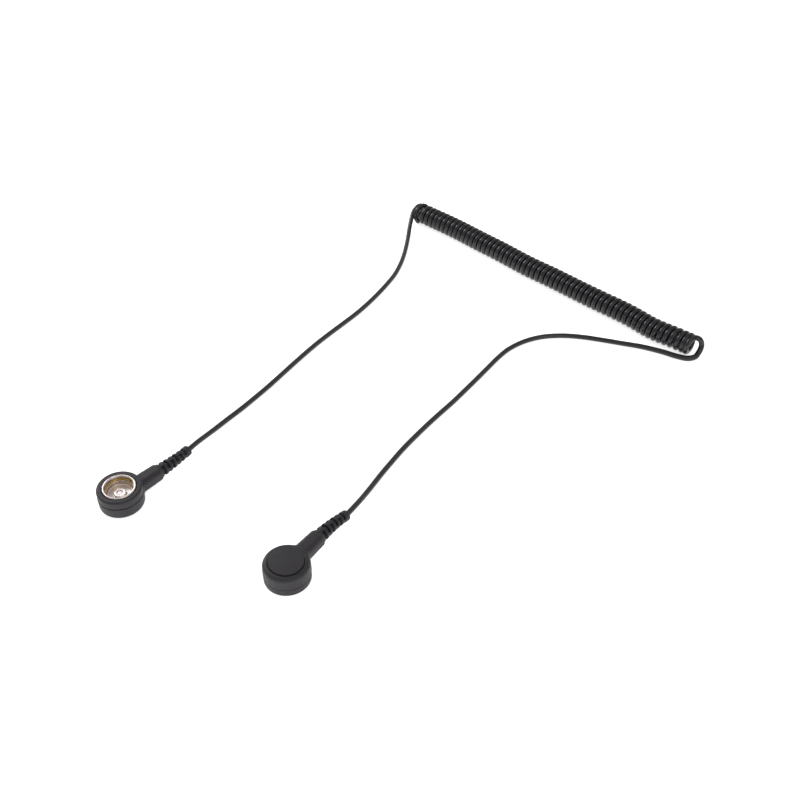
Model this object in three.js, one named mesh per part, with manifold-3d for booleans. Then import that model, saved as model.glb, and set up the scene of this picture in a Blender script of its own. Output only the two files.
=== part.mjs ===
// A coiled grounding cord for an ESD wrist strap, with a 10 mm press-stud socket head on each end.
// Millimetres, +Z up. The cord and both heads lie on the plane z = 0, and the origin is on that
// plane, under the axis of head A. Head A lies on its cap with its socket up, and head B lies on
// its socket with its cap up.
//
// Each head is drawn in its own frame: z = 0 is the plane of the socket's rim, z grows towards the
// cap, and the neck runs along +X from the head's axis.

import * as THREE from 'three';
import { mergeVertices } from 'three/addons/utils/BufferGeometryUtils.js';
import Module from 'manifold-3d';

const wasm = await Module();
wasm.setup();

// ---------------------------------------------------------------------------------------------
// Driving dimensions
// ---------------------------------------------------------------------------------------------

const headRadius = 8.4;
const headHeight = 9.3; // from the socket's rim to the flat of the cap disc
const seamHeight = 3.5; // the face ring ends here and the body starts one clearance further on
const clearance = 0.3; // between pieces that touch on the real object
const closeClearance = 0.15; // between pieces stacked inside the head

const studRadius = 5; // the press stud that the socket snaps over
const socketRimRadius = 6.15;
const socketDepth = 3.8;
const sheetThickness = 0.35;

const neckCentreHeight = 5.3;
const neckEnd = 17.4; // from the head's axis
const reliefLength = 14.4;
const reliefRootRadius = 2.5;
const reliefTipRadius = 1.9;

const cordRadius = 1.1;
const coilRadius = 4.8;
const coilPitch = 2.63;
const coilTurns = 57;

// The tip of each strain relief hangs towards the floor by the droop, and to one side by the bend.
const headA = { name: 'head_a', x: 0, y: 0, turn: 47.5, socketUp: true, bend: - 1.35, droop: 0.55 };
const headB = { name: 'head_b', x: 62.9, y: - 34.4, turn: 54, socketUp: false, bend: - 0.4, droop: 1.8 };

const coilStart = new THREE.Vector3( 113, 189.4, coilRadius );
const coilHeading = THREE.MathUtils.degToRad( - 43.23 );

// The middle of the cord from each strain relief to its end of the coil.
const tailRouteA = [
	[ 20.84, 24.83, 3.42 ], [ 23.8, 29.7, 2.98 ], [ 26.3, 33.9, 2.2 ], [ 29.2, 38.7, 1.4 ],
	[ 33, 44.1, cordRadius ], [ 38, 50.5, cordRadius ], [ 42.9, 57.3, cordRadius ],
	[ 47.8, 64.4, cordRadius ], [ 52.7, 72, cordRadius ], [ 57.1, 78.9, cordRadius ],
	[ 61.7, 85.9, cordRadius ], [ 66.5, 92.8, cordRadius ], [ 71.6, 99.5, cordRadius ],
	[ 76.9, 106.2, cordRadius ], [ 82.3, 113.2, cordRadius ], [ 86.8, 119.9, cordRadius ],
	[ 91.2, 127.2, cordRadius ], [ 95.4, 135, cordRadius ], [ 98.8, 142.3, cordRadius ],
	[ 101.5, 150.7, cordRadius ], [ 103.1, 158.5, cordRadius ], [ 104.2, 167.2, cordRadius ],
	[ 104.9, 175.2, 1.4 ], [ 105.7, 181.4, 2.8 ], [ 107, 185.9, 5.2 ], [ 109, 188.6, 7.6 ],
	[ 111.98, 190.36, 8.5 ],
];
const tailRouteB = [
	[ 82.25, - 8.4, 3.45 ], [ 86, - 2.2, 2.92 ], [ 88.6, 3.1, 1.9 ], [ 91.4, 8.7, 1.26 ],
	[ 94.4, 14.3, cordRadius ], [ 97.9, 20.2, cordRadius ], [ 102.4, 27.5, cordRadius ],
	[ 107.3, 34.6, cordRadius ], [ 111.9, 40.9, cordRadius ], [ 117.3, 47.9, cordRadius ],
	[ 122.3, 54.2, cordRadius ], [ 127.9, 61.8, cordRadius ], [ 132.3, 67.9, cordRadius ],
	[ 137.4, 75.1, cordRadius ], [ 142.6, 82.4, cordRadius ], [ 147.6, 88.2, cordRadius ],
	[ 155, 93.5, cordRadius ], [ 162.7, 96.4, cordRadius ], [ 171.4, 97.2, cordRadius ],
	[ 179.9, 96.2, cordRadius ], [ 188.1, 94.2, cordRadius ], [ 196.3, 92.1, cordRadius ],
	[ 204.4, 89.9, cordRadius ], [ 212.1, 86.7, cordRadius ], [ 218, 83.9, cordRadius ],
	[ 222.2, 82.3, 1.2 ], [ 225.4, 82.8, 2 ], [ 227.4, 84.2, 3.8 ], [ 227.8, 85.3, 5.9 ],
	[ 226.3, 86.1, 7.8 ], [ 223.1, 85.91, 8.5 ],
];

// ---------------------------------------------------------------------------------------------
// Materials
// ---------------------------------------------------------------------------------------------

function finish( color, roughness, metalness ) {

	return new THREE.MeshStandardMaterial( { color, roughness, metalness } );

}

const materials = {
	head: finish( 0x3c3c3e, 0.62, 0 ),
	relief: finish( 0x38383a, 0.66, 0 ),
	cord: finish( 0x2c2b2e, 0.42, 0 ),
	nickel: finish( 0xd9d6cf, 0.2, 1 ),
	bronze: finish( 0xb08a3a, 0.32, 1 ),
	tinnedCopper: finish( 0xb9a58c, 0.4, 1 ),
	resistor: finish( 0xc8b48a, 0.5, 0 ),
};

// ---------------------------------------------------------------------------------------------
// Solids
// ---------------------------------------------------------------------------------------------

const weldDistance = 1e-4;
const outerSides = 48;
const innerSides = 32;
const smallSides = 16;

function solidOf( geometry ) {

	const bare = geometry.clone();
	bare.deleteAttribute( 'normal' );
	bare.deleteAttribute( 'uv' );
	const welded = mergeVertices( bare, weldDistance );
	const index = welded.index.array;
	const corners = [];
	for ( let i = 0; i < index.length; i += 3 ) {

		const [ a, b, c ] = index.slice( i, i + 3 );
		if ( a !== b && b !== c && c !== a ) corners.push( a, b, c );

	}

	return new wasm.Manifold( new wasm.Mesh( {
		numProp: 3,
		vertProperties: new Float32Array( welded.attributes.position.array ),
		triVerts: new Uint32Array( corners ),
	} ) );

}

function geometryOf( solid ) {

	const mesh = solid.getMesh();
	const geometry = new THREE.BufferGeometry();
	geometry.setAttribute( 'position', new THREE.BufferAttribute( mesh.vertProperties, 3 ) );
	geometry.setIndex( new THREE.BufferAttribute( mesh.triVerts, 1 ) );
	geometry.computeVertexNormals();
	return geometry;

}

// A profile of [radius, height] pairs turned about +Z. It runs upwards on the outside.
function turned( profile, sides ) {

	const points = profile.map( ( [ radius, height ] ) => new THREE.Vector2( radius, height ) );
	return solidOf( new THREE.LatheGeometry( points, sides ).rotateX( Math.PI / 2 ) );

}

function turnedRing( profile, sides ) {

	return turned( [ ...profile, profile[ 0 ] ], sides );

}

function cylinder( radius, bottom, top, sides ) {

	return turned( [ [ 0, bottom ], [ radius, bottom ], [ radius, top ], [ 0, top ] ], sides );

}

// The points of a quarter circle, from one angle to the other in degrees.
function arc( centreRadius, centreHeight, radius, from, to, steps ) {

	const points = [];
	for ( let i = 0; i <= steps; i ++ ) {

		const angle = THREE.MathUtils.degToRad( from + ( to - from ) * i / steps );
		points.push( [ centreRadius + radius * Math.cos( angle ), centreHeight + radius * Math.sin( angle ) ] );

	}

	return points;

}

// Something turned about +Z, laid along the middle line of the neck.
function alongNeck( solid ) {

	return solid.rotate( [ 0, 90, 0 ] ).translate( [ 0, 0, neckCentreHeight ] );

}

// A skin over closed sections with the same number of points, each anticlockwise seen from the last one.
function lofted( sections ) {

	const count = sections[ 0 ].length;
	const positions = sections.flat().flatMap( ( point ) => point.toArray() );
	const index = [];
	for ( let s = 0; s < sections.length - 1; s ++ ) {

		for ( let i = 0; i < count; i ++ ) {

			const a = s * count + i;
			const b = s * count + ( i + 1 ) % count;
			index.push( a, b, b + count, a, b + count, a + count );

		}

	}

	const last = ( sections.length - 1 ) * count;
	for ( let i = 1; i < count - 1; i ++ ) {

		index.push( 0, i + 1, i );
		index.push( last, last + i, last + i + 1 );

	}

	const geometry = new THREE.BufferGeometry();
	geometry.setAttribute( 'position', new THREE.Float32BufferAttribute( positions, 3 ) );
	geometry.setIndex( index );
	return solidOf( geometry );

}

// ---------------------------------------------------------------------------------------------
// The moulded shell of a head
// ---------------------------------------------------------------------------------------------

const discRadius = 6.2;
const discStep = 0.55; // the disc stands this proud of the shoulder
const discThickness = 1.35;
const shoulderHeight = headHeight - discStep;
const shoulderRadius = 1.7;
const recessFloor = headHeight - discThickness - closeClearance;
const bodyStart = seamHeight + clearance;
const cavityRadius = 5.65;
const cavityTop = 7;
const leadChannelRadius = 1;
const resistorChannelRadius = 1.4;
const resistorChannelStart = 9.3;

function roundedSection( x, halfWidth, halfHeight, cornerRadius ) {

	const stepsPerCorner = 4;
	const corners = [ [ 1, 1, 0 ], [ - 1, 1, 90 ], [ - 1, - 1, 180 ], [ 1, - 1, 270 ] ];
	return corners.flatMap( ( [ side, level, from ] ) => arc(
		side * ( halfWidth - cornerRadius ), level * ( halfHeight - cornerRadius ),
		cornerRadius, from, from + 90, stepsPerCorner,
	) ).map( ( [ y, z ] ) => new THREE.Vector3( x, y, neckCentreHeight + z ) );

}

// The neck narrows towards its end, where its edge is rounded.
function neck() {

	const start = { x: 4, halfWidth: 3.4, halfHeight: 2.9 };
	const end = { x: neckEnd, halfWidth: 3, halfHeight: 2.8 };
	const cornerRadius = 2.1;
	const endRounding = 1;
	const roundingSteps = 4;
	const along = ( x, inset ) => {

		const share = ( x - start.x ) / ( end.x - start.x );
		const halfWidth = THREE.MathUtils.lerp( start.halfWidth, end.halfWidth, share ) - inset;
		const halfHeight = THREE.MathUtils.lerp( start.halfHeight, end.halfHeight, share ) - inset;
		return roundedSection( x, halfWidth, halfHeight, cornerRadius - inset );

	};

	const sections = [ along( start.x, 0 ) ];
	for ( let i = 0; i <= roundingSteps; i ++ ) {

		const angle = Math.PI / 2 * i / roundingSteps;
		const x = end.x - endRounding + endRounding * Math.sin( angle );
		sections.push( along( x, endRounding * ( 1 - Math.cos( angle ) ) ) );

	}

	return lofted( sections );

}

function bodySolid() {

	const cup = turned( [
		[ 0, bodyStart ],
		[ headRadius - 0.15, bodyStart ],
		[ headRadius, bodyStart + 0.2 ],
		...arc( headRadius - 0.1 - shoulderRadius, shoulderHeight - shoulderRadius, shoulderRadius, 0, 90, 5 ),
		[ 0, shoulderHeight ],
	], outerSides );
	const ringRoom = cylinder( headRadius - 0.1 + clearance, - 1, bodyStart, outerSides );
	const cavity = cylinder( cavityRadius, 0, cavityTop, innerSides );
	const recess = cylinder( discRadius + clearance, recessFloor, headHeight, outerSides );
	const channel = alongNeck( turned( [
		[ 0, 4 ],
		[ leadChannelRadius, 4 ],
		[ leadChannelRadius, resistorChannelStart ],
		[ resistorChannelRadius, resistorChannelStart ],
		[ resistorChannelRadius, neckEnd + 1 ],
		[ 0, neckEnd + 1 ],
	], smallSides ) );
	return cup.add( neck().subtract( ringRoom ) ).subtract( cavity ).subtract( recess ).subtract( channel );

}

function faceRingSolid() {

	const faceHeight = 0.3;
	const outer = headRadius - 0.1;
	const inner = socketRimRadius + clearance;
	const rounding = 0.9;
	return turnedRing( [
		[ inner, faceHeight ],
		...arc( outer - rounding, faceHeight + rounding, rounding, - 90, 0, 4 ),
		[ outer, seamHeight - 0.15 ],
		[ outer - 0.15, seamHeight ],
		[ inner, seamHeight ],
	], outerSides );

}

function capDiscSolid() {

	const chamfer = 0.15;
	return turned( [
		[ 0, headHeight - discThickness ],
		[ discRadius, headHeight - discThickness ],
		[ discRadius, headHeight - chamfer ],
		[ discRadius - chamfer, headHeight ],
		[ 0, headHeight ],
	], outerSides );

}

// ---------------------------------------------------------------------------------------------
// The press-stud socket
// ---------------------------------------------------------------------------------------------

const throatRadius = studRadius + 0.3;
const springChamberRadius = 5.8;
const springChamber = { from: 1.15, to: 2.2 };
const rivetHoleRadius = 1.3;
const lugBottom = 4.75;

// One drawn sheet: a rolled rim, a chamber for the spring, a ledge and a cup with a holed floor.
function snapSocketSolid() {

	const rimMiddle = ( throatRadius + socketRimRadius ) / 2;
	const rimHalfWidth = ( socketRimRadius - throatRadius ) / 2;
	const cupTopRadius = 4.95;
	const cupFloorRadius = 4.75;
	const ledge = springChamber.to;
	return turnedRing( [
		[ rivetHoleRadius, socketDepth ],
		[ cupFloorRadius, socketDepth ],
		[ cupTopRadius, ledge ],
		[ springChamberRadius, ledge ],
		[ springChamberRadius, springChamber.from ],
		[ throatRadius + 0.2, springChamber.from ],
		[ throatRadius, springChamber.from - 0.25 ],
		...arc( rimMiddle, rimHalfWidth, rimHalfWidth, 180, 360, 6 ),
		[ socketRimRadius, ledge + sheetThickness ],
		[ cupTopRadius + sheetThickness, ledge + sheetThickness ],
		[ cupFloorRadius + sheetThickness, socketDepth + sheetThickness ],
		[ rivetHoleRadius, socketDepth + sheetThickness ],
	], innerSides );

}

// Half of the split ring that grips the stud. It pivots at the back of the socket, at -X.
function springArmSolid( side ) {

	const inner = studRadius + 0.1;
	const outer = 5.55;
	const bottom = springChamber.from + closeClearance;
	const top = springChamber.to - closeClearance;
	const backGap = 2;
	const mouthGap = 9;
	const steps = 18;
	const sections = [];
	for ( let i = 0; i <= steps; i ++ ) {

		const share = side > 0 ? 1 - i / steps : i / steps;
		const angle = side * THREE.MathUtils.degToRad( mouthGap + ( 180 - backGap - mouthGap ) * share );
		sections.push( [ [ inner, bottom ], [ outer, bottom ], [ outer, top ], [ inner, top ] ].map(
			( [ radius, height ] ) => new THREE.Vector3( radius * Math.cos( angle ), radius * Math.sin( angle ), height ),
		) );

	}

	return lofted( sections );

}

// It clamps the lug to the socket's floor. Its head in the socket is dished.
function rivetSolid() {

	const headTop = socketDepth - 0.1;
	const dishRadius = 1;
	const shankRadius = rivetHoleRadius - 0.25;
	const flangeBottom = lugBottom + sheetThickness + clearance;
	return turned( [
		[ 0, headTop - 0.3 ],
		[ dishRadius, headTop - 0.35 ],
		[ dishRadius + 0.2, headTop - 0.6 ],
		[ 2.1, headTop - 0.55 ],
		[ 2.3, headTop - 0.35 ],
		[ 2.3, headTop ],
		[ shankRadius, headTop ],
		[ shankRadius, flangeBottom ],
		[ 1.9, flangeBottom ],
		[ 1.8, flangeBottom + 0.4 ],
		[ 0, flangeBottom + 0.5 ],
	], smallSides );

}

// A flat eye under the rivet, with a tab that reaches into the neck.
function contactLugSolid() {

	const plate = new THREE.Shape();
	const eyeRadius = 2.8;
	const tabHalfWidth = 0.65;
	const tabEnd = 8;
	const tabAngle = Math.asin( tabHalfWidth / eyeRadius );
	plate.moveTo( tabEnd, - tabHalfWidth );
	plate.lineTo( tabEnd, tabHalfWidth );
	plate.absarc( 0, 0, eyeRadius, tabAngle, 2 * Math.PI - tabAngle, false );
	plate.closePath();
	const hole = new THREE.Path();
	hole.absarc( 0, 0, rivetHoleRadius, 0, 2 * Math.PI, true );
	plate.holes.push( hole );
	const sheet = new THREE.ExtrudeGeometry( plate, { depth: sheetThickness, bevelEnabled: false, curveSegments: 10 } );
	return solidOf( sheet ).translate( [ 0, 0, lugBottom ] );

}

// ---------------------------------------------------------------------------------------------
// The conductor's path in the neck
// ---------------------------------------------------------------------------------------------

const leadRadius = 0.28;
const resistorBody = { from: 9.6, to: 15, radius: 1.15 };
const crimp = { from: 15.3, to: 17, inner: 0.62, outer: 1 };

function resistorSolid() {

	const { from, to, radius } = resistorBody;
	const waist = 0.9 * radius;
	return alongNeck( turned( [
		[ 0, 8.2 ],
		[ leadRadius, 8.2 ],
		[ leadRadius, from ],
		[ radius * 0.8, from ],
		[ radius, from + 0.3 ],
		[ radius, from + 1.2 ],
		[ waist, from + 1.5 ],
		[ waist, to - 1.5 ],
		[ radius, to - 1.2 ],
		[ radius, to - 0.3 ],
		[ radius * 0.8, to ],
		[ leadRadius, to ],
		[ leadRadius, crimp.from + 0.6 ],
		[ 0, crimp.from + 0.6 ],
	], smallSides ) );

}

function crimpSolid() {

	const { from, to, inner, outer } = crimp;
	return alongNeck( turnedRing( [ [ inner, from ], [ outer, from ], [ outer, to ], [ inner, to ] ], smallSides ) );

}

function conductorSolid() {

	return alongNeck( cylinder( 0.38, crimp.to - 0.8, neckEnd, smallSides ) );

}

// ---------------------------------------------------------------------------------------------
// The strain relief: a tapered sleeve with slots across it, above and below or left and right in turn
// ---------------------------------------------------------------------------------------------

const slotCount = 6;
const firstSlot = 0.75;
const slotSpacing = 2.14;
const slotWidth = 1.2;
const slotHalfAngle = 62;
const slotFloorRadius = 1.45;

function reliefPath( head ) {

	const root = new THREE.Vector3( neckEnd + clearance, 0, neckCentreHeight );
	const drop = head.socketUp ? head.droop : - head.droop;
	const tip = root.clone().add( new THREE.Vector3( reliefLength, head.bend, drop ) );
	const handle = root.clone().add( new THREE.Vector3( reliefLength / 2, 0, 0 ) );
	return new THREE.QuadraticBezierCurve3( root, handle, tip );

}

function frameAt( path, share ) {

	const place = new THREE.Matrix4();
	const forward = path.getTangentAt( share );
	const left = new THREE.Vector3( 0, 0, 1 ).cross( forward ).normalize();
	const up = forward.clone().cross( left );
	place.makeBasis( left, up, forward ).setPosition( path.getPointAt( share ) );
	return place;

}

function reliefRadius( share ) {

	return THREE.MathUtils.lerp( reliefRootRadius, reliefTipRadius, share );

}

function slotSolid( place ) {

	const half = THREE.MathUtils.degToRad( slotHalfAngle );
	const outerRadius = reliefRootRadius + 1;
	const sector = new THREE.Shape();
	sector.absarc( 0, 0, outerRadius, - half, half, false );
	sector.absarc( 0, 0, slotFloorRadius, half, - half, true );
	sector.closePath();
	const cutter = new THREE.ExtrudeGeometry( sector, { depth: slotWidth, bevelEnabled: false, curveSegments: 3 } );
	cutter.translate( 0, 0, - slotWidth / 2 ).applyMatrix4( place );
	return solidOf( cutter );

}

function strainReliefSolid( head ) {

	const path = reliefPath( head );
	const sides = 16;
	const edge = 0.3;
	const circle = ( share, inset ) => {

		const place = frameAt( path, share );
		const radius = reliefRadius( share ) - inset;
		return Array.from( { length: sides }, ( _, i ) => {

			const angle = 2 * Math.PI * i / sides;
			return new THREE.Vector3( radius * Math.cos( angle ), radius * Math.sin( angle ), 0 ).applyMatrix4( place );

		} );

	};

	const steps = 5;
	const sections = [ circle( 0, 0 ) ];
	for ( let i = 1; i < steps; i ++ ) sections.push( circle( i / steps, 0 ) );
	sections.push( circle( 1 - edge / reliefLength, 0 ), circle( 1, edge ) );
	let relief = lofted( sections );
	for ( let slot = 0; slot < slotCount; slot ++ ) {

		const place = frameAt( path, ( firstSlot + slot * slotSpacing ) / reliefLength );
		const firstAngle = slot % 2 === 0 ? 0 : Math.PI / 2;
		for ( const angle of [ firstAngle, firstAngle + Math.PI ] ) {

			const turn = new THREE.Matrix4().makeRotationZ( angle );
			relief = relief.subtract( slotSolid( place.clone().multiply( turn ) ) );

		}

	}

	return relief;

}

// ---------------------------------------------------------------------------------------------
// The cord
// ---------------------------------------------------------------------------------------------

function tube( points, radius, sides, steps ) {

	const section = new THREE.Shape();
	for ( let i = 0; i < sides; i ++ ) {

		const angle = 2 * Math.PI * ( i + 0.5 ) / sides;
		const corner = [ radius * Math.cos( angle ), radius * Math.sin( angle ) ];
		if ( i === 0 ) section.moveTo( ...corner );
		else section.lineTo( ...corner );

	}

	section.closePath();
	const path = new THREE.CatmullRomCurve3( points );
	return solidOf( new THREE.ExtrudeGeometry( section, { steps, extrudePath: path, bevelEnabled: false } ) );

}

function tailSolid( route ) {

	const sides = 8;
	return tube( route.map( ( point ) => new THREE.Vector3( ...point ) ), cordRadius, sides, route.length + 6 );

}

// The coil at rest, drawn as one round bar of its outer diameter.
function coilSolid() {

	const along = new THREE.Vector3( Math.cos( coilHeading ), Math.sin( coilHeading ), 0 );
	const end = coilStart.clone().addScaledVector( along, coilPitch * coilTurns );
	const sides = 24;
	const steps = 6;
	return tube( [ coilStart, coilStart.clone().lerp( end, 0.5 ), end ], coilRadius, sides, steps );

}

// ---------------------------------------------------------------------------------------------
// The assembly
// ---------------------------------------------------------------------------------------------

function piece( name, solid, material ) {

	const mesh = new THREE.Mesh( geometryOf( solid ), material );
	mesh.name = name;
	return mesh;

}

function headAssembly( head ) {

	const group = new THREE.Group();
	const add = ( part, solid, material ) => group.add( piece( `${ head.name }_${ part }`, solid, material ) );
	add( 'body', bodySolid(), materials.head );
	add( 'face_ring', faceRingSolid(), materials.head );
	add( 'cap_disc', capDiscSolid(), materials.head );
	add( 'snap_socket', snapSocketSolid(), materials.nickel );
	add( 'spring_left', springArmSolid( 1 ), materials.bronze );
	add( 'spring_right', springArmSolid( - 1 ), materials.bronze );
	add( 'rivet', rivetSolid(), materials.nickel );
	add( 'contact_lug', contactLugSolid(), materials.bronze );
	add( 'resistor', resistorSolid(), materials.resistor );
	add( 'crimp_sleeve', crimpSolid(), materials.tinnedCopper );
	add( 'conductor', conductorSolid(), materials.tinnedCopper );
	add( 'strain_relief', strainReliefSolid( head ), materials.relief );
	const flip = head.socketUp ? Math.PI : 0;
	group.rotation.set( flip, 0, THREE.MathUtils.degToRad( head.turn ), 'ZYX' );
	group.position.set( head.x, head.y, head.socketUp ? headHeight : 0 );
	return group;

}

const wristStrapCord = new THREE.Group();
wristStrapCord.add( headAssembly( headA ), headAssembly( headB ) );
wristStrapCord.add( piece( 'cord_tail_a', tailSolid( tailRouteA ), materials.cord ) );
wristStrapCord.add( piece( 'cord_coil', coilSolid(), materials.cord ) );
wristStrapCord.add( piece( 'cord_tail_b', tailSolid( tailRouteB ), materials.cord ) );

export default wristStrapCord;
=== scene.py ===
"""The looks of a coiled ESD grounding cord with a press-stud head on each end.

Lengths are in millimetres until a mesh is made. Each head is drawn in its own frame, as in the
CAD: z = 0 is the plane of the socket's rim, z grows towards the cap, and the neck runs along +X.
"""

from math import cos, pi, radians, sin

import bpy
import numpy as np
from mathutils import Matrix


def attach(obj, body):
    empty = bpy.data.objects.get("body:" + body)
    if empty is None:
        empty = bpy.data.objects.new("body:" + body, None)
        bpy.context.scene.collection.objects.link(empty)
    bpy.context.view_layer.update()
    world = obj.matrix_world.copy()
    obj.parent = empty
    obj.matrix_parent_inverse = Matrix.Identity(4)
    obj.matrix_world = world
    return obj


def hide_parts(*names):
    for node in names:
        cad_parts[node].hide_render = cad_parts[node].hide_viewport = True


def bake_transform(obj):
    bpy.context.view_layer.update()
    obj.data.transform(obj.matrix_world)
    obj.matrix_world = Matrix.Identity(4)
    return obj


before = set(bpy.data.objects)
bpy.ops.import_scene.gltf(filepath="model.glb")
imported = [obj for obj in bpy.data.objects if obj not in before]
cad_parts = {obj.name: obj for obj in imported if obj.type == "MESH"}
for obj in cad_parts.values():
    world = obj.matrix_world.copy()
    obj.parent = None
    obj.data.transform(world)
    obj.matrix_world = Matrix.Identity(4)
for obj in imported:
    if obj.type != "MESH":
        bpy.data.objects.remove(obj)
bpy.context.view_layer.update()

MM = 0.001

# ------------------------------------------------------------------------------ the camera

camera = bpy.data.objects.new("camera", bpy.data.cameras.new("camera"))
camera.data.lens = 49.5
camera.data.sensor_width = 36
camera.location = (0.1013, -0.2741, 0.297)
camera.rotation_euler = (radians(48.1), 0, 0)
bpy.context.scene.collection.objects.link(camera)
bpy.context.scene.camera = camera

# ------------------------------------------------------------------------------ mesh helpers


def add_mesh(name, points, faces, material, sharp=40):
    """A smooth-shaded object from points in millimetres. Edges over sharp degrees stay crisp."""
    mesh = bpy.data.meshes.new(name)
    mesh.from_pydata((np.asarray(points) * MM).tolist(), [], [list(f) for f in faces])
    mesh.validate()
    mesh.polygons.foreach_set("use_smooth", [True] * len(mesh.polygons))
    mesh.set_sharp_from_angle(angle=radians(sharp))
    mesh.materials.append(material)
    thing = bpy.data.objects.new(name, mesh)
    bpy.context.scene.collection.objects.link(thing)
    return thing


def unit(v):
    return v / np.linalg.norm(v, axis=-1, keepdims=True)


def smooth_path(points, step):
    """A centripetal Catmull-Rom curve through the points, sampled about every step."""
    points = np.vstack([2 * points[0] - points[1], points, 2 * points[-1] - points[-2]])
    samples = []
    for i in range(1, len(points) - 2):
        p0, p1, p2, p3 = points[i - 1 : i + 3]
        d0, d1, d2 = (np.sqrt(np.linalg.norm(b - a)) for a, b in ((p0, p1), (p1, p2), (p2, p3)))
        m1 = (p2 - p1) + d1 * ((p1 - p0) / d0 - (p2 - p0) / (d0 + d1))
        m2 = (p2 - p1) + d1 * ((p3 - p2) / d2 - (p3 - p1) / (d1 + d2))
        count = max(1, round(np.linalg.norm(p2 - p1) / step))
        t = (np.arange(count) / count)[:, None]
        samples.append(
            (2 * t**3 - 3 * t**2 + 1) * p1 + (t**3 - 2 * t**2 + t) * m1
            + (3 * t**2 - 2 * t**3) * p2 + (t**3 - t**2) * m2
        )
    return np.vstack([*samples, points[-2]])


def follow(table, x):
    """A smooth curve through the table's (x, value) pairs."""
    knots, values = np.array(table, float).T
    slopes = np.gradient(values, knots)
    i = np.clip(np.searchsorted(knots, x) - 1, 0, len(knots) - 2)
    gap = knots[i + 1] - knots[i]
    t = np.clip((x - knots[i]) / gap, 0, 1)
    return (
        (2 * t**3 - 3 * t**2 + 1) * values[i] + (t**3 - 2 * t**2 + t) * gap * slopes[i]
        + (3 * t**2 - 2 * t**3) * values[i + 1] + (t**3 - t**2) * gap * slopes[i + 1]
    )


def tube(path, radii, sides):
    """Points and faces of a round tube with closed ends, whose section doesn't twist."""
    tangents = unit(np.gradient(path, axis=0))
    side = unit(np.cross(tangents[0], (0, 0, 1)))
    angles = np.arange(sides) * 2 * pi / sides
    rings = []
    for centre, tangent, radius in zip(path, tangents, radii):
        side = unit(side - tangent * (side @ tangent))
        up = np.cross(tangent, side)
        spokes = np.outer(np.cos(angles), side) + np.outer(np.sin(angles), up)
        rings.append(centre + radius * spokes)
    points = np.vstack(rings)
    faces = []
    for r in range(len(path) - 1):
        for s in range(sides):
            a, b = r * sides + s, r * sides + (s + 1) % sides
            faces.append((a, b, b + sides, a + sides))
    last = (len(path) - 1) * sides
    faces.append(tuple(range(sides))[::-1])
    faces.append(tuple(last + s for s in range(sides)))
    return points, faces


def lathe(profile, sides):
    """Points and faces of [radius, height] pairs turned about Z, outside on the right going up.
    A profile that doesn't start and end on the axis closes on itself."""
    on_axis = profile[0][0] == 0
    inner = profile[1:-1] if on_axis else profile
    angles = np.arange(sides) * 2 * pi / sides
    rings = [np.c_[r * np.cos(angles), r * np.sin(angles), np.full(sides, z)] for r, z in inner]
    points = np.vstack(rings)
    faces = []
    bands = len(inner) - 1 if on_axis else len(inner)
    for band in range(bands):
        low, high = band * sides, (band + 1) % len(inner) * sides
        for s in range(sides):
            t = (s + 1) % sides
            faces.append((low + s, low + t, high + t, high + s))
    if on_axis:
        bottom, top = len(points), len(points) + 1
        points = np.vstack([points, (0, 0, profile[0][1]), (0, 0, profile[-1][1])])
        last = (len(inner) - 1) * sides
        for s in range(sides):
            t = (s + 1) % sides
            faces.append((bottom, t, s))
            faces.append((top, last + s, last + t))
    return points, faces


def arc(radius, height, size, start, end, steps=10):
    """Profile points on a circle of that size about (radius, height), from start to end degrees."""
    turns = np.radians(np.linspace(start, end, steps + 1))
    return [(radius + size * cos(a), height + size * sin(a)) for a in turns]


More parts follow.
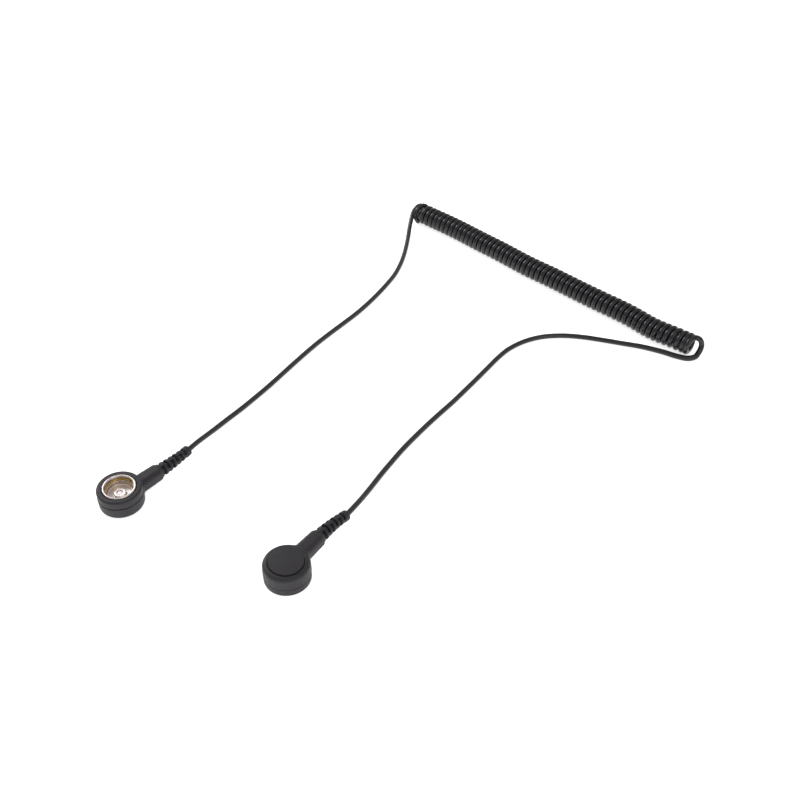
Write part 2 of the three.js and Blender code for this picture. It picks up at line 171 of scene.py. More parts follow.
def surface_net(distance, low, high, cell):
    """Points and faces of the surface where distance(points) is zero, from a grid of cells."""
    axes = [np.arange(a, b + cell, cell) for a, b in zip(low, high)]
    grid = np.stack(np.meshgrid(*axes, indexing="ij"), -1)
    value = distance(grid.reshape(-1, 3)).reshape(grid.shape[:3])
    inside = value < 0
    cells = tuple(n - 1 for n in value.shape)
    total, count = np.zeros((*cells, 3)), np.zeros(cells)
    crossings = []
    for axis in range(3):
        near = tuple(slice(None, -1) if k == axis else slice(None) for k in range(3))
        far = tuple(slice(1, None) if k == axis else slice(None) for k in range(3))
        crossed = inside[near] != inside[far]
        share = np.where(crossed, value[near] / np.where(crossed, value[near] - value[far], 1), 0)
        place = grid[near].copy()
        place[..., axis] += share * cell
        crossings.append((crossed, inside[near]))
        b, c = (axis + 1) % 3, (axis + 2) % 3
        for shift_b in (0, 1):
            for shift_c in (0, 1):
                pick = [slice(None)] * 3
                pick[b] = slice(shift_b, shift_b + cells[b])
                pick[c] = slice(shift_c, shift_c + cells[c])
                part = crossed[tuple(pick)]
                total += place[tuple(pick)] * part[..., None]
                count += part
    used = count > 0
    number = np.full(cells, -1)
    number[used] = np.arange(used.sum())
    points = total[used] / count[used][:, None]
    faces = []
    for axis, (crossed, starts_inside) in enumerate(crossings):
        b, c = (axis + 1) % 3, (axis + 2) % 3
        spots = np.argwhere(crossed)
        spots = spots[(spots[:, b] > 0) & (spots[:, c] > 0)]
        spots = spots[(spots[:, b] < cells[b]) & (spots[:, c] < cells[c])]
        step_b, step_c = np.eye(3, dtype=int)[b], np.eye(3, dtype=int)[c]
        around = (spots, spots - step_b, spots - step_b - step_c, spots - step_c)
        quad = np.stack([number[tuple(s.T)] for s in around], 1)
        outward = starts_inside[tuple(spots.T)]
        faces.append(np.where(outward[:, None], quad, quad[:, ::-1]))
    nudge, pulls = 0.02, 4  # the points are pulled onto the true surface along its slope
    for _ in range(pulls):
        slope = np.stack(
            [distance(points + nudge * e) - distance(points - nudge * e) for e in np.eye(3)], 1
        ) / (2 * nudge)
        away = distance(points)[:, None] * slope / np.maximum((slope**2).sum(1, keepdims=True), 0.3)
        points = points - np.clip(away, -cell / 3, cell / 3)
    return points, np.vstack(faces)


def smooth_join(a, b, size):
    """The union of two distances, with a fillet."""
    mix = np.clip(0.5 + 0.5 * (b - a) / size, 0, 1)
    return b * (1 - mix) + a * mix - size * mix * (1 - mix)


def smooth_cut(a, b, size):
    """Distance a without what is inside b, with its new edge rounded."""
    return -smooth_join(-a, b, size)


# ------------------------------------------------------------------------------ materials


class Nodes:
    """Short calls for building a material's nodes."""

    def __init__(self, name):
        self.material = bpy.data.materials.new(name)
        self.material.use_nodes = True
        self.tree = self.material.node_tree
        self.shader = self.tree.nodes["Principled BSDF"]
        self.place = self.add("ShaderNodeTexCoord").outputs["Object"]

    def add(self, kind, **settings):
        node = self.tree.nodes.new(kind)
        for key, value in settings.items():
            setattr(node, key, value)
        return node

    def put(self, socket, value):
        if isinstance(value, bpy.types.NodeSocket):
            self.tree.links.new(value, socket)
        else:
            socket.default_value = value

    def noise(self, size, detail=3, stretch=None):
        """Noise whose features are about size millimetres across."""
        node = self.add("ShaderNodeTexNoise")
        place = self.place
        if stretch:
            scale = self.add("ShaderNodeMapping")
            self.put(scale.inputs["Vector"], place)
            scale.inputs["Scale"].default_value = stretch
            place = scale.outputs[0]
        self.put(node.inputs["Vector"], place)
        node.inputs["Scale"].default_value = 1 / (size * MM)
        node.inputs["Detail"].default_value = detail
        return node.outputs["Fac"]

    def spread(self, value, low, high, start=0.3, end=0.7):
        """value, usually noise, mapped from start..end to low..high."""
        node = self.add("ShaderNodeMapRange")
        for socket, number in zip(node.inputs, (value, start, end, low, high)):
            self.put(socket, number)
        return node.outputs[0]

    def mix(self, share, a, b):
        node = self.add("ShaderNodeMix", data_type="RGBA")
        self.put(node.inputs["Factor"], share)
        colours = [s for s in node.inputs if s.type == "RGBA"]
        for socket, colour in zip(colours, (a, b)):
            self.put(socket, colour if isinstance(colour, bpy.types.NodeSocket) else (*colour, 1))
        return next(s for s in node.outputs if s.type == "RGBA")

    def bump(self, height, depth, below=None):
        """A bump whose full height is depth millimetres."""
        node = self.add("ShaderNodeBump")
        node.inputs["Strength"].default_value = 1
        node.inputs["Distance"].default_value = depth * MM
        self.put(node.inputs["Height"], height)
        if below:
            self.put(node.inputs["Normal"], below)
        return node.outputs[0]

    def set(self, **values):
        for key, value in values.items():
            socket = self.shader.inputs[key.replace("_", " ").replace("IORLevel", "IOR Level")]
            self.put(socket, (*value, 1) if isinstance(value, tuple) else value)
        return self.material


def moulded_plastic(name, colour, worn, roughness, grain):
    """Satin moulded rubber or PVC, with a fine spark-eroded grain, mottling and rubbed edges."""
    n = Nodes(name)
    mottle = n.mix(n.spread(n.noise(3.5), 0, 1), colour, tuple(c * 1.22 for c in colour))
    rubbed = n.add("ShaderNodeNewGeometry").outputs["Pointiness"]
    edge = n.spread(rubbed, 0, 0.55, 0.52, 0.62)
    dust = n.spread(n.noise(0.5, 5), 0, 0.3, 0.62, 0.8)
    tint = n.mix(edge, mottle, worn)
    tint = n.mix(dust, tint, tuple(c * 2.2 for c in colour))
    fine = n.bump(n.noise(0.22, 4), grain)
    uneven = n.bump(n.noise(1.6, 2), grain * 2.5, fine)
    return n.set(
        Base_Color=tint, Roughness=n.spread(n.noise(0.8, 3), roughness - 0.07, roughness + 0.08),
        Normal=uneven, Specular_IORLevel=0.42,
    )


def cord_jacket():
    """Glossy PVC jacket with drawing marks, and painted light and shade along it: paler on the
    tails, darker through the coil.
    """
    n = Nodes("cord_jacket")
    # painted light and shade along the cord: high on the tails (painted light), 0 in the coil
    # (painted shade)
    painted_light = n.add("ShaderNodeAttribute", attribute_name="painted_light").outputs["Fac"]
    base = n.mix(painted_light, (0.0078, 0.0056, 0.0084), (0.044, 0.04, 0.044))
    cloudy = n.mix(n.spread(n.noise(5, 4), 0, 0.2), base, (0.012, 0.01, 0.013))
    scuffs = n.spread(n.noise(0.7, 6), 0, 0.4, 0.6, 0.78)
    tint = n.mix(scuffs, cloudy, (0.035, 0.032, 0.035))
    fine = n.bump(n.noise(0.3, 4), 0.012)
    wavy = n.bump(n.noise(2.2, 3), 0.07, fine)
    return n.set(
        Base_Color=tint, Roughness=n.spread(n.noise(1.2, 4), 0.2, 0.36), Normal=wavy,
        Specular_IORLevel=0.42, Coat_Weight=0.1, Coat_Roughness=0.12,
    )


def metal(name, colour, stained, roughness):
    """Plated or bare sheet metal, with stains, drawing marks and small scratches. It is gilt
    where the mesh's gilt attribute is high."""
    n = Nodes(name)
    patches = n.spread(n.noise(1.4, 5), 0, 0.5, 0.45, 0.7)
    tint = n.mix(patches, colour, stained)
    gilt = n.add("ShaderNodeAttribute", attribute_name="gilt").outputs["Fac"]
    tint = n.mix(gilt, tint, GILT)
    scratched = n.noise(0.5, 6, (1, 6, 1))
    fine = n.bump(n.noise(0.35, 5), 0.003)
    rough = n.spread(scratched, roughness - 0.06, roughness + 0.12)
    return n.set(Base_Color=tint, Metallic=1.0, Roughness=rough, Normal=fine)


GILT = (0.60, 0.43, 0.17)
HEAD_PLASTIC = moulded_plastic(
    "head_plastic", colour=(0.0198, 0.0172, 0.0212), worn=(0.042, 0.038, 0.044),
    roughness=0.56, grain=0.012,
)
BOOT_PLASTIC = moulded_plastic(
    "boot_plastic", colour=(0.0182, 0.016, 0.0195), worn=(0.038, 0.035, 0.04),
    roughness=0.54, grain=0.012,
)
JACKET = cord_jacket()
NICKEL = metal("nickel_plate", (0.76, 0.69, 0.68), (0.58, 0.5, 0.45), 0.3)
BRONZE = metal("spring_bronze", (0.66, 0.48, 0.17), (0.42, 0.26, 0.08), 0.28)
TINNED = metal("tinned_copper", (0.62, 0.55, 0.47), (0.45, 0.3, 0.2), 0.34)

# ------------------------------------------------------------------------------ the cord

TAIL_RADIUS = 1.05
COIL_WIRE_RADIUS = 1.2
CORD_SIDES = 16
SWELL = 30  # length over which the wire goes from one radius to the other
SWOLLEN_PAST_COIL = 45

TAIL_A = [
    (20.84, 24.83, 3.42), (23.8, 29.7, 2.98), (26.3, 33.9, 2.2), (29.2, 38.7, 1.4),
    (33, 44.1, 1.1), (38, 50.5, 1.1), (42.9, 57.3, 1.1), (47.8, 64.4, 1.1), (52.7, 72, 1.1),
    (57.1, 78.9, 1.1), (61.7, 85.9, 1.1), (66.5, 92.8, 1.1), (71.6, 99.5, 1.1),
    (76.9, 106.2, 1.1), (82.3, 113.2, 1.1), (86.8, 119.9, 1.1), (91.2, 127.2, 1.1),
    (95.4, 135, 1.1), (98.8, 142.3, 1.1), (101.5, 150.7, 1.1), (103.2, 158.5, 1.1),
    (104.5, 167.2, 1.1), (105.4, 175, 1.4), (106.2, 181.2, 2.9),
]
TAIL_B = [
    (225.5, 82.4, 1.55), (222.3, 81.8, 1.2), (218, 83.3, 1.1), (212.1, 86.4, 1.1),
    (204.4, 89.6, 1.1), (196.3, 91.9, 1.1), (188.1, 94.2, 1.1), (179.9, 96.2, 1.1),
    (171.4, 97.2, 1.1), (162.7, 96.4, 1.1), (155, 93.5, 1.1), (147.6, 88.2, 1.1),
    (142.6, 82.4, 1.1), (137.4, 75.1, 1.1), (132.3, 67.9, 1.1), (127.9, 61.8, 1.1),
    (122.3, 54.2, 1.1), (117.3, 47.9, 1.1), (111.9, 40.9, 1.1), (107.3, 34.6, 1.1),
    (102.4, 27.5, 1.1), (97.9, 20.2, 1.1), (94.4, 14.3, 1.1), (91.4, 8.7, 1.26),
    (88.6, 3.1, 1.9), (86, -2.2, 2.92), (82.25, -8.4, 3.45),
]

# Places on the coil are (along its axis, away from the camera, height).
COIL_START = np.array([113, 189.4, 0])
COIL_ALONG = unit(np.array([0.7286, -0.6849, 0]))
COIL_AWAY = np.array([-COIL_ALONG[1], COIL_ALONG[0], 0])
COIL_RADIUS = 3.66
AXIS_HEIGHT = 4.86
CREST_ANGLE = 231  # from the bottom of a turn, over the front, to the crest seen at the top
# (turn, how far along the axis it has got)
TURN_PLACES = [
    (-1, -3.45), (-0.14, -0.75), (0, -0.15), (0.25, 0.8), (0.5, 2.2), (0.65, 2.85), (1, 3.2),
    (1.25, 3.9), (1.5, 5.1), (1.65, 5.5), (2, 6.05), (2.5, 7.8), (3, 8.65), (3.5, 10.3),
    (4, 11.25), (5, 13.9), (7, 19.2), (13, 34.7), (20, 53.2), (30, 79.7), (40, 105.85),
    (50, 131.9), (54, 142.05), (57, 149.85), (57.5, 150.7), (57.75, 151.3), (58, 152.4),
]
# (along the axis, how far the coil lies off its straight line)
COIL_BOW = [
    (-4, -1), (4, -0.8), (14, -0.3), (24, -0.1), (34, -0.35), (50, -0.45), (58, -0.75),
    (65, -1), (78, -0.58), (100, -0.45), (108, -0.25), (114, 0), (122, 0), (128, -0.5),
    (132, -0.82), (137, -0.6), (143, 0.2), (148, 0.65), (153, 1.2),
]
LOOSE_END_A = [
    (-2.8, -4.6, 6), (-2.7, -2.7, 7.5), (-2.7, -0.6, 7.8), (-2.8, 1.6, 6.7), (-3.2, 2.5, 4.6),
    (-3.9, 1.7, 2.2), (-3.4, -0.6, 1.2), (-1.1, -3.3, 1.2), (0.2, -4.6, 2.2), (-1.1, -5.1, 4.8),
    (-0.9, -3.8, 7.3),
]
LOOSE_END_B = [
    (153.1, 2.4, 8.4), (154.1, 3.3, 7.2), (154.8, 3.5, 5.5), (155.2, 2.7, 3.8), (155.3, 1.1, 2.4),
]
FIRST_TURN, LAST_TURN = -0.14, 57.9
POINTS_PER_TURN = 36


def on_coil(along, away, height):
    return COIL_START + COIL_ALONG * along + COIL_AWAY * away + np.array([0, 0, height])


def coil_point(turn):
    along = follow(TURN_PLACES, turn)
    angle = radians(CREST_ANGLE + 360 * turn)
    away = follow(COIL_BOW, along) - COIL_RADIUS * sin(angle)
    return on_coil(along, away, AXIS_HEIGHT - COIL_RADIUS * cos(angle))


def cord_route():
    """The points from head A to head B, and how many lie before and up to the end of the coil."""
    before = [np.array(p, float) for p in TAIL_A] + [on_coil(*p) for p in LOOSE_END_A]
    turns = np.arange(FIRST_TURN, LAST_TURN, 1 / POINTS_PER_TURN)
    coil = [coil_point(t) for t in turns]
    after = [on_coil(*p) for p in LOOSE_END_B] + [np.array(p, float) for p in TAIL_B]
    return before, coil, after


before, coil, after = cord_route()
INSIDE_BOOT = 1.2
PATH_STEP = 0.8
start_way, end_way = unit(before[0] - before[1]), unit(after[-1] - after[-2])
before.insert(0, before[0] + start_way * INSIDE_BOOT)
after.append(after[-1] + end_way * INSIDE_BOOT)
route_a = smooth_path(np.array(before + coil[:1]), PATH_STEP)[:-1]
route_b = smooth_path(np.array(coil[-1:] + after), PATH_STEP)[1:]
route = np.vstack([route_a, coil, route_b])
lengths = np.r_[0, np.cumsum(np.linalg.norm(np.diff(route, axis=0), axis=1))]
coil_from, coil_to = lengths[len(route_a)], lengths[len(route_a) + len(coil) - 1]
from_ends = np.minimum(lengths - coil_from + SWELL, coil_to + SWOLLEN_PAST_COIL - lengths)
near_coil = np.clip(from_ends / SWELL, 0, 1)
radii = TAIL_RADIUS + (COIL_WIRE_RADIUS - TAIL_RADIUS) * near_coil
points, faces = tube(route, radii, CORD_SIDES)
cord = add_mesh("cord", points, faces, JACKET)
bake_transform(cord)
# (millimetres from head A or to head B, how much painted light the jacket gets there; 0 is the
# coil's painted shade)
PAINTED_LIGHT_A = [(0, 0.42), (60, 0.5), (110, 0.62), (160, 0.78), (185, 0.8), (196, 0.35), (210, 0)]
PAINTED_LIGHT_B = [(0, 0.5), (60, 0.5), (105, 0.45), (150, 0.25), (190, 0.2), (215, 0.15), (240, 0)]
# painted light on the tails and painted shade through the coil, stored per point for the jacket's
# colour
painted_light = np.maximum(
    np.interp(lengths, *np.array(PAINTED_LIGHT_A).T), np.interp(lengths[-1] - lengths, *np.array(PAINTED_LIGHT_B).T)
)
cord.data.attributes.new("painted_light", "FLOAT", "POINT").data.foreach_set(
    "value", np.repeat(painted_light, CORD_SIDES).astype(np.float32)
)
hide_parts("cord_tail_a", "cord_coil", "cord_tail_b")

# ------------------------------------------------------------------------------ the heads

HEAD_RADIUS = 8.4
HEAD_HEIGHT = 9.3
SEAM_HEIGHT = 3.5
BODY_START = 3.72
SHOULDER = 8.75
DISC_RADIUS = 6.15
DISC_FLOOR = 7.95
RECESS = (6.3, 7.8)  # radius, floor
CAVITY = (5.65, 7)  # radius, top
RING_ROOM = 8.6
NECK_MIDDLE = 5.3
NECK_START, NECK_END = 4, 17.4
NECK_HALF_WIDTH, NECK_HALF_HEIGHT = 3.4, 2.9
NECK_NARROWS, NECK_LOWERS = 0.4, 0.1  # how much less the halves are at its end
NECK_ROUNDING = 2.1
# The neck's channel: radius round the lug's lead, radius round the resistor, where it widens
LEAD_ROOM, RESISTOR_ROOM, ROOM_STEP = 1.0, 1.4, 9.3
CAP_ROUNDING, SEAM_ROUNDING = 1.5, 0.2
DRAFT = 0.03  # how far the wall leans in for each millimetre of height
NECK_FILLET = 1.1
PARTING_DEPTH, PARTING_ABOVE_MIDDLE, PARTING_FROM = 0.09, 0.4, 2
# The ring marked on top of the neck
MARK_PLACE, MARK_RADIUS, MARK_ABOVE_MIDDLE, MARK_GROOVE = 12.6, 1.05, 2.86, 0.11
RIM_RADIUS = 6.15
THROAT = 5.3
SOCKET_DEPTH = 3.8
SHEET = 0.35

HEADS = [
    {"name": "head_a", "at": (0, 0), "turn": 47.5, "up": True, "bend": -1.35, "droop": 0.55},
    {"name": "head_b", "at": (62.9, -34.4), "turn": 54, "up": False, "bend": -0.4, "droop": -1.8},
]


def in_world(points, head):
    """Points of a head's own frame, in the part's frame."""
    x, y, z = np.asarray(points, float).T
    if head["up"]:
        y, z = -y, HEAD_HEIGHT - z
    turn = radians(head["turn"])
    return np.c_[
        x * cos(turn) - y * sin(turn) + head["at"][0],
        x * sin(turn) + y * cos(turn) + head["at"][1], z,
    ]


def rounded_slab(across, height, half_across, half_height, rounding):
    """Distance to a rounded rectangle in the plane of across and height."""
    a = np.abs(across) - half_across + rounding
    b = np.abs(height) - half_height + rounding
    return np.hypot(np.maximum(a, 0), np.maximum(b, 0)) + np.minimum(np.maximum(a, b), 0) - rounding


def shell_distance(p):
    """The head's moulded shell: cup, neck, room for the disc and the socket, and its channel."""
    x, y, z = p.T
    r = np.hypot(x, y)
    middle, half = (BODY_START + SHOULDER) / 2, (SHOULDER - BODY_START) / 2
    rounding = np.where(z > middle, CAP_ROUNDING, SEAM_ROUNDING)
    draft = DRAFT * (z - BODY_START)
    cup = rounded_slab(r + draft, z - middle, HEAD_RADIUS, half, rounding)
    share = np.clip((x - NECK_START) / (NECK_END - NECK_START), 0, 1)
    bar = rounded_slab(
        y, z - NECK_MIDDLE, NECK_HALF_WIDTH - NECK_NARROWS * share,
        NECK_HALF_HEIGHT - NECK_LOWERS * share, NECK_ROUNDING,
    )
    end = np.maximum(x - NECK_END, NECK_START - x)
    neck = np.hypot(np.maximum(bar + 1, 0), np.maximum(end + 1, 0)) - 1
    neck = np.where((bar < -1) & (end < -1), np.maximum(bar, end), neck)
    from_parting = np.abs(z - NECK_MIDDLE - PARTING_ABOVE_MIDDLE)
    parting = np.maximum(PARTING_DEPTH - from_parting, 0) * (np.abs(y) > PARTING_FROM)
    neck = neck - 0.5 * parting
    neck = smooth_cut(neck, np.maximum(r - RING_ROOM, z - BODY_START), 0.12)
    shell = smooth_join(cup, neck, NECK_FILLET)
    from_ring = np.hypot(x - MARK_PLACE, y) - MARK_RADIUS
    mark = np.hypot(from_ring, z - NECK_MIDDLE - MARK_ABOVE_MIDDLE) - MARK_GROOVE
    shell = smooth_cut(shell, mark, 0.06)
    shell = smooth_cut(shell, np.maximum(r - RECESS[0], RECESS[1] - z), 0.16)
    shell = np.maximum(shell, -np.maximum(r - CAVITY[0], z - CAVITY[1]))
    bore = np.where(x < ROOM_STEP, LEAD_ROOM, RESISTOR_ROOM)
    channel = np.maximum(np.hypot(y, z - NECK_MIDDLE) - bore, NECK_START - x)
    return np.maximum(shell, -channel)


BOOT_ROOT = np.array([NECK_END + 0.3, 0, NECK_MIDDLE])
BOOT_LENGTH = 14.4
BOOT_ROOT_RADIUS, BOOT_TIP_RADIUS = 2.72, 1.92
BOOT_BURIED = 0.9
COLLAR_HEIGHT, COLLAR_START, COLLAR_RISE = 0.1, 12.2, 0.3
SLOT_FIRST, SLOT_SPACING, SLOT_COUNT = 0.75, 2.14, 6
SLOT_HALF_WIDTH, SLOT_FLOOR, SLOT_HALF_ANGLE = 0.62, 1.35, 73


def boot_distance(p):
    """The strain relief, straight along X, each slot cut from two opposite sides."""
    x, y, z = p.T
    r = np.hypot(y, z)
    radius = BOOT_ROOT_RADIUS + (BOOT_TIP_RADIUS - BOOT_ROOT_RADIUS) * x / BOOT_LENGTH
    collar = COLLAR_HEIGHT * np.clip((x - COLLAR_START) / COLLAR_RISE, 0, 1)
    middle = (BOOT_LENGTH - BOOT_BURIED) / 2
    boot = rounded_slab(x - middle, r - radius - collar + 5, middle + BOOT_BURIED, 5, 0.3)
    half_angle = radians(SLOT_HALF_ANGLE)
    for i in range(SLOT_COUNT):
        along, level = (y, z) if i % 2 == 0 else (z, y)
        wedge = np.abs(level) * cos(half_angle) - np.abs(along) * sin(half_angle)
        width = np.abs(x - SLOT_FIRST - SLOT_SPACING * i) - SLOT_HALF_WIDTH
        slot = np.maximum(np.maximum(width, SLOT_FLOOR - r), wedge)
        boot = smooth_cut(boot, slot, 0.16)
    return boot


def boot_curve(head):
    """Root, handle and tip of the curve that the boot follows, in the head's frame."""
    tip = BOOT_ROOT + (BOOT_LENGTH, head["bend"], head["droop"])
    return BOOT_ROOT, BOOT_ROOT + (BOOT_LENGTH / 2, 0, 0), tip


def bend_boot(points, head):
    """Carries points of the straight boot onto its curve."""
    root, handle, tip = boot_curve(head)
    t = (points[:, :1]) / BOOT_LENGTH
    inside = np.clip(t, 0, 1)
    centre = (1 - inside) ** 2 * root + 2 * inside * (1 - inside) * handle + inside**2 * tip
    tangent = unit(2 * (1 - inside) * (handle - root) + 2 * inside * (tip - handle))
    centre = centre + tangent * (t - inside) * BOOT_LENGTH
    left = unit(np.cross((0, 0, 1), tangent))
    up = np.cross(tangent, left)
    return centre + left * points[:, 1:2] + up * points[:, 2:3]


def face_ring():
    outer, inner, low, high, rounding = 8.3, 6.42, 0.3, SEAM_HEIGHT, 0.75
    return lathe([
        (inner + 0.12, low), *arc(outer - rounding, low + rounding, rounding, -90, 0, 14),
        *arc(outer - 0.15, high - 0.15, 0.15, 0, 90, 4), (inner, high), (inner, low + 0.12),
    ], 160)


def cap_disc():
    edge = 0.24
    return lathe([
        (0, DISC_FLOOR), (DISC_RADIUS - 0.1, DISC_FLOOR), (DISC_RADIUS, DISC_FLOOR + 0.1),
        *arc(DISC_RADIUS - edge, HEAD_HEIGHT - edge, edge, 0, 90, 8), (0, HEAD_HEIGHT),
    ], 160)


def snap_socket():
    middle, size = (THROAT + RIM_RADIUS) / 2, (RIM_RADIUS - THROAT) / 2
    ledge, chamber, chamber_start = 2.2, 5.8, 1.15
    cup_top, cup_floor, hole = 4.95, 4.75, 1.3
    lip = arc(cup_top + 0.25, ledge + 0.25, 0.25, 270, 180, 6)
    corner = arc(cup_floor - 0.35, SOCKET_DEPTH - 0.35, 0.35, 0, 90, 6)
    inside = [
        *corner[::-1], (cup_top - 0.02, ledge + 0.5), *lip[::-1], (chamber - 0.15, ledge),
        (chamber, ledge - 0.15), (chamber, chamber_start), (THROAT + 0.2, chamber_start),
        (THROAT, chamber_start - 0.25),
    ]
    outside = [
        (RIM_RADIUS, ledge + SHEET), (cup_top + SHEET, ledge + SHEET),
        (cup_floor + SHEET, SOCKET_DEPTH + SHEET), (hole, SOCKET_DEPTH + SHEET),
    ]
    rim = arc(middle, size, size, 180, 360, 18)
    return lathe([(hole, SOCKET_DEPTH), *inside, *rim, *outside], 192)


def rivet():
    top, flange = SOCKET_DEPTH - 0.1, 5.4
    return lathe([
        (0, top - 0.3), (0.85, top - 0.33), *arc(1.25, top - 0.42, 0.22, 150, 270, 5),
        *arc(2.0, top - 0.34, 0.3, 270, 350, 6), (2.3, top), (1.05, top), (1.05, flange),
        (1.9, flange), (1.8, flange + 0.4), (0, flange + 0.5),
    ], 96)


def spring_arm(side):
    """Half of the split ring that grips the stud, with a rounded section."""
    low, high, inner, outer = 1.3, 2.05, 5.1, 5.55
    back_gap, mouth_gap, steps, rounding = 2, 9, 72, 0.14
    corners = [(inner, high, 90), (inner, low, 180), (outer, low, 270), (outer, high, 0)]
    section = []
    for radius, height, start in corners:
        centre_r = radius + rounding * (1 if radius == inner else -1)
        centre_z = height + rounding * (1 if height == low else -1)
        section += arc(centre_r, centre_z, rounding, start, start + 90, 4)
    section = np.array(section)
    angles = side * np.radians(np.linspace(mouth_gap, 180 - back_gap, steps + 1))
    points = np.vstack([
        np.c_[section[:, 0] * cos(a), section[:, 0] * sin(a), section[:, 1]] for a in angles
    ])
    count = len(section)
    faces = []
    for r in range(steps):
        for s in range(count):
            a, b = r * count + s, r * count + (s + 1) % count
            faces.append((a, b, b + count, a + count))
    last = steps * count
    faces += [tuple(range(count))[::-1], tuple(last + s for s in range(count))]
    return points, faces if side > 0 else [f[::-1] for f in faces]


def put(piece, name, head, shape, material, body=None):
    points, faces = shape
    thing = add_mesh(f"{head['name']}_{piece}", in_world(points, head), faces, material)
    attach(thing, body or head["name"])
    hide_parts(name)
    return thing


def gild(thing, shape):
    """Marks the walls inside the socket, which are warmer than its floor and its rim."""
    wall_radius, wall_start, wall_stop = 4.5, 0.9, SOCKET_DEPTH - 0.2
    ledge, ledge_reach = 2.4, 0.35
    ledge_gilt, wall_gilt = 0.25, 0.85
    x, y, z = shape[0].T
    wall = (np.hypot(x, y) > wall_radius) & (z > wall_start) & (z < wall_stop)
    amount = np.where(np.abs(z - ledge) < ledge_reach, ledge_gilt, wall_gilt)
    values = np.where(wall, amount, 0).astype(np.float32)
    thing.data.attributes.new("gilt", "FLOAT", "POINT").data.foreach_set("value", values)


SHELL_CELL, BOOT_CELL = 0.17, 0.12
shell = surface_net(shell_distance, (-8.7, -8.7, 2), (17.7, 8.7, 9.1), SHELL_CELL)
boot = surface_net(boot_distance, (-1.2, -2.9, -2.9), (14.7, 2.9, 2.9), BOOT_CELL)
shapes = [
    ("moulded_ring", "face_ring", face_ring(), HEAD_PLASTIC, "head"),
    ("cap", "cap_disc", cap_disc(), HEAD_PLASTIC, "head"),
    ("socket", "snap_socket", snap_socket(), NICKEL, "nickel"),
    ("rivet_head", "rivet", rivet(), NICKEL, "nickel"),
]

for head in HEADS:
    name, letter = head["name"], head["name"][-1]
    put("shell", f"{name}_body", head, shell, HEAD_PLASTIC)
    for piece, node, shape, material, slot_name in shapes:
        thing = put(piece, f"{name}_{node}", head, shape, material)
        if piece == "socket":
            gild(thing, shape)
    for side, word in ((1, "left"), (-1, "right")):
        put(
            f"spring_arm_{word}", f"{name}_spring_{word}", head, spring_arm(side), BRONZE,
            f"spring_{word}_{letter}",
        )
    bent = in_world(bend_boot(boot[0], head), head)
    relief = add_mesh(f"{name}_boot", bent, boot[1], BOOT_PLASTIC)
    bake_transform(relief)
    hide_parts(f"{name}_strain_relief")

# ------------------------------------------------------------------------------ what is inside

BAND_COLOURS = [
    (0.0, (0.58, 0.42, 0.22)), (0.2, (0.12, 0.05, 0.02)), (0.3, (0.58, 0.42, 0.22)),
    (0.38, (0.01, 0.01, 0.01)), (0.48, (0.58, 0.42, 0.22)), (0.56, (0.02, 0.12, 0.03)),
    (0.66, (0.58, 0.42, 0.22)), (0.8, (0.5, 0.33, 0.06)), (0.88, (0.58, 0.42, 0.22)),
]


def banded_resistor(head, start, end):
    """Lacquered resistor body with colour bands between two distances along the neck."""
    n = Nodes(f"{head['name']}_resistor_lacquer")
    turn = radians(head["turn"])
    origin = (*(np.array(head["at"]) * MM), 0)
    shift = n.add("ShaderNodeVectorMath", operation="SUBTRACT")
    n.put(shift.inputs[0], n.place)
    shift.inputs[1].default_value = origin
    along = n.add("ShaderNodeVectorMath", operation="DOT_PRODUCT")
    n.put(along.inputs[0], shift.outputs[0])
    along.inputs[1].default_value = (cos(turn), sin(turn), 0)
    place = n.spread(along.outputs["Value"], 0, 1, start * MM, end * MM)
    ramp = n.add("ShaderNodeValToRGB")
    ramp.color_ramp.interpolation = "CONSTANT"
    while len(ramp.color_ramp.elements) < len(BAND_COLOURS):
        ramp.color_ramp.elements.new(0.5)
    for element, (position, colour) in zip(ramp.color_ramp.elements, BAND_COLOURS):
        element.position = position
        element.color = (*colour, 1)
    n.put(ramp.inputs[0], place)
    tint = n.mix(n.spread(n.noise(0.6, 4), 0, 0.35), ramp.outputs[0], (0.45, 0.3, 0.14))
    return n.set(
        Base_Color=tint, Roughness=n.spread(n.noise(0.4), 0.25, 0.4),
        Normal=n.bump(n.noise(0.5), 0.02), Coat_Weight=0.4,
    )


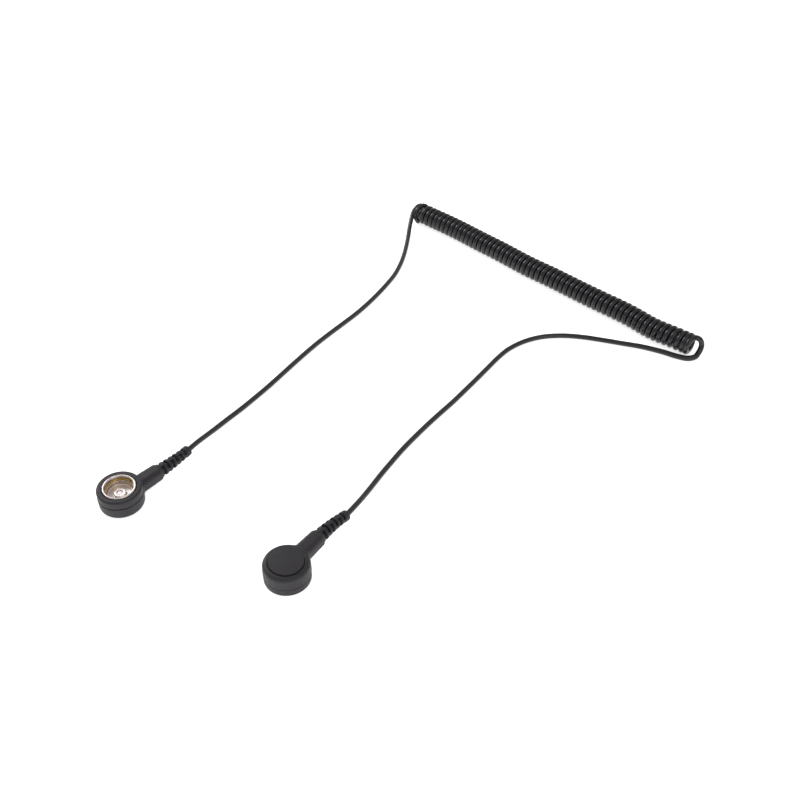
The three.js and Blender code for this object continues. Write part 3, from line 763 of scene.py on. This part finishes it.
def dress(node, material):
    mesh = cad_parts[node].data
    mesh.materials.clear()
    mesh.materials.append(material)


RESISTOR_START, RESISTOR_END = 9.6, 15

for head in HEADS:
    dress(f"{head['name']}_contact_lug", BRONZE)
    dress(f"{head['name']}_resistor", banded_resistor(head, RESISTOR_START, RESISTOR_END))
    dress(f"{head['name']}_crimp_sleeve", TINNED)
    dress(f"{head['name']}_conductor", TINNED)

# ------------------------------------------------------------------------------ floor and light


def floor_material():
    n = Nodes("floor_paper")
    tint = n.mix(n.noise(40, 3), (0.94, 0.94, 0.94), (0.96, 0.96, 0.96))
    return n.set(
        Base_Color=tint, Roughness=n.spread(n.noise(12), 0.85, 0.95),
        Emission_Color=(1.0, 1.0, 1.0), Emission_Strength=0.72,
    )


FLOOR_REACH = 30000
FLOOR_HEIGHT = -0.02
corners = [(-1, -1), (1, -1), (1, 1), (-1, 1)]
floor = add_mesh(
    "floor", [(x * FLOOR_REACH, y * FLOOR_REACH, FLOOR_HEIGHT) for x, y in corners],
    [(0, 1, 2, 3)], floor_material(),
)

world = bpy.data.worlds.new("light_tent")
world.use_nodes = True
world.node_tree.nodes["Background"].inputs["Color"].default_value = (1, 1, 1, 1)
world.node_tree.nodes["Background"].inputs["Strength"].default_value = 0.55
bpy.context.scene.world = world


def area_light(name, place, aim, size, power):
    light = bpy.data.objects.new(name, bpy.data.lights.new(name, "AREA"))
    light.data.shape = "RECTANGLE"
    light.data.size, light.data.size_y = size
    light.data.energy = power
    light.location = place
    way = np.array(aim) - np.array(place)
    light.rotation_euler = (
        np.arctan2(np.hypot(way[0], way[1]), -way[2]), 0, np.arctan2(way[1], way[0]) - pi / 2
    )
    bpy.context.scene.collection.objects.link(light)


area_light(
    "key", place=(-0.45, 0.55, 0.5), aim=(0.15, 0.12, 0), size=(0.3, 0.3), power=3.2,
)
area_light(
    "fill", place=(0.5, -0.6, 0.7), aim=(0.12, 0.08, 0), size=(0.5, 0.5), power=1.2,
)

bpy.context.scene.view_settings.view_transform = "Standard"
